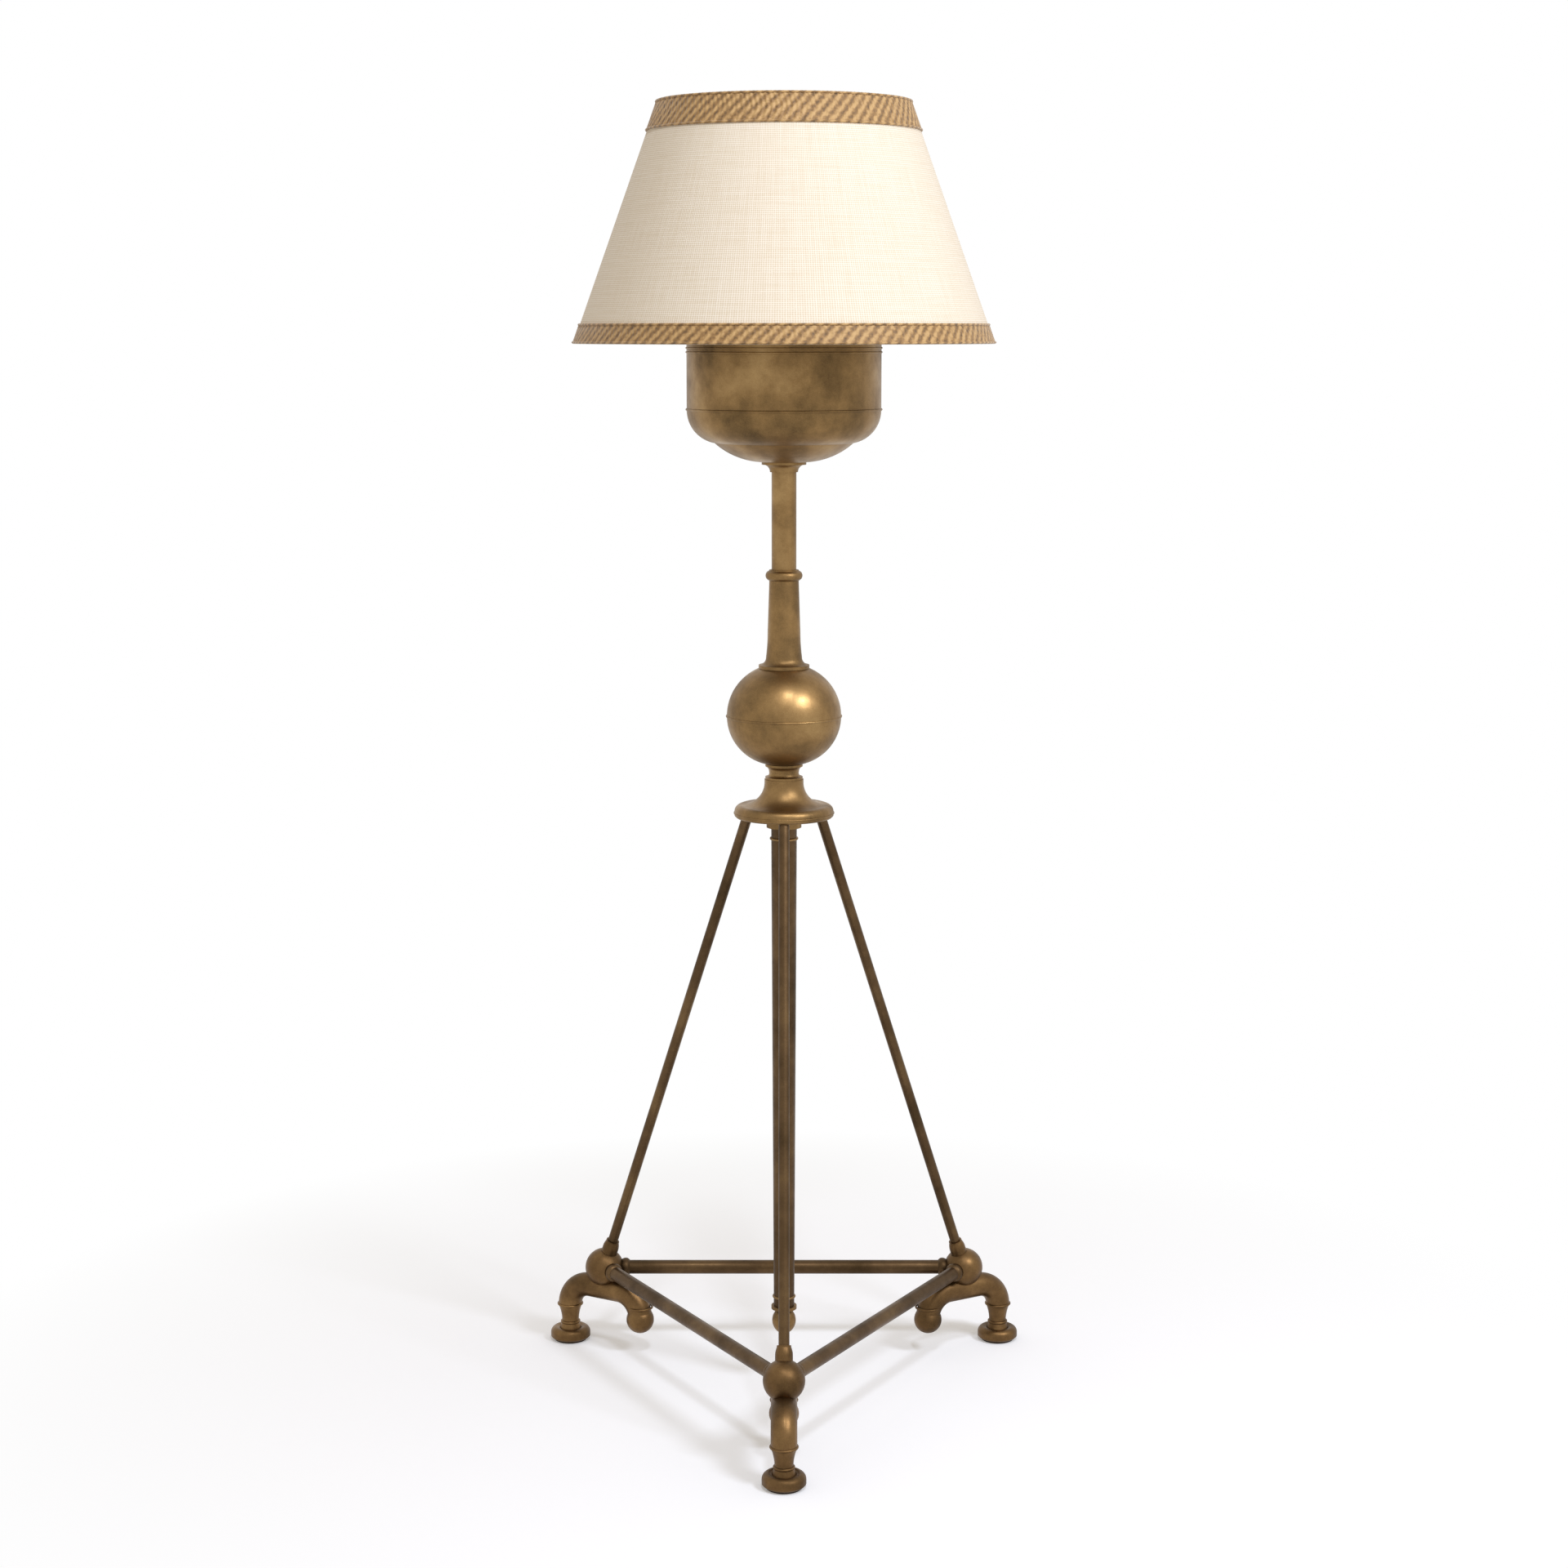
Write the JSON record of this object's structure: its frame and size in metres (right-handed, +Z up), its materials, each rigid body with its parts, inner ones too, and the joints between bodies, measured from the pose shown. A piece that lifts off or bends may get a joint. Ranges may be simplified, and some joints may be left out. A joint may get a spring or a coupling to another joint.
{
  "type": "candlestick floor lamp",
  "caption": "Free-standing candlestick floor lamp: tripod base with struts and arched feet, ball knop, font bowl and an empire fabric shade.",
  "frame": {"origin": "on the floor, on the vertical axis of the lamp", "axes": "+Z up; the front foot points along -Y, the other two to the back left and back right; +X to the right seen from the front"},
  "size_m": [0.6184, 0.6059, 1.59],
  "materials": {
    "aged_brass": "antique brass, satin, darkened in the recesses",
    "bright_brass": "lacquered brass",
    "zinc_steel": "zinc plated steel",
    "felt": "dense brown felt",
    "shade_fabric": "cream linen on a stiff backing",
    "shade_trim": "woven bronze-brown tape",
    "black_plastic": "moulded black plastic",
    "card_liner": "brown insulating card",
    "bulb_aluminium": "rolled thread shell",
    "bulb_glass": "frosted"
  },
  "bodies": {
    "stand": {"foot_front": "aged_brass", "foot_left": "aged_brass", "foot_right": "aged_brass", "tie_bar_back": "aged_brass", "tie_bar_left": "aged_brass", "tie_bar_right": "aged_brass", "strut_front": "aged_brass", "strut_left": "aged_brass", "strut_right": "aged_brass", "ferrule_front": "aged_brass", "ferrule_left": "aged_brass", "ferrule_right": "aged_brass", "centre_column": "aged_brass", "column_drop": "aged_brass", "strut_hub": "aged_brass", "neck_spool": "aged_brass", "ball_knop": "aged_brass", "trumpet_neck": "aged_brass", "upper_stem": "aged_brass", "bowl_cup": "aged_brass", "font_bowl": "aged_brass", "font_lid": "aged_brass", "lid_collar": "aged_brass", "finial": "aged_brass", "holder_cap": "bright_brass", "holder_shell": "bright_brass", "harp_wire": "bright_brass", "harp_ferrule_left": "bright_brass", "harp_ferrule_right": "bright_brass", "harp_stud": "bright_brass", "harp_saddle": "zinc_steel", "saddle_nut": "zinc_steel", "lamp_pipe": "zinc_steel", "hub_set_screws": "zinc_steel", "glide_screws": "zinc_steel", "glide_front": "felt", "glide_left": "felt", "glide_right": "felt", "cord_bushing": "black_plastic", "holder_core": "black_plastic", "holder_liner": "card_liner", "screw_shell": "bulb_aluminium", "bulb_base": "bulb_aluminium", "centre_contact": "bulb_aluminium", "bulb_glass": "bulb_glass"},
    "key": {"switch_key": "black_plastic"},
    "shade": {"shade_cone": "shade_fabric", "bottom_trim": "shade_trim", "top_trim": "shade_trim", "bottom_ring": "zinc_steel", "top_ring": "zinc_steel", "shade_spider": "zinc_steel"}
  },
  "joints": [
    {"name": "switch_turn", "type": "hinge", "parent": "stand", "child": "key", "pos_m": [0, -0.02, 1.3708], "axis": [0, -1, 0], "continuous": true},
    {"name": "shade_turn", "type": "hinge", "parent": "stand", "child": "shade", "pos_m": [0, 0, 1.5673], "axis": [0, 0, 1], "continuous": true}
  ]
}
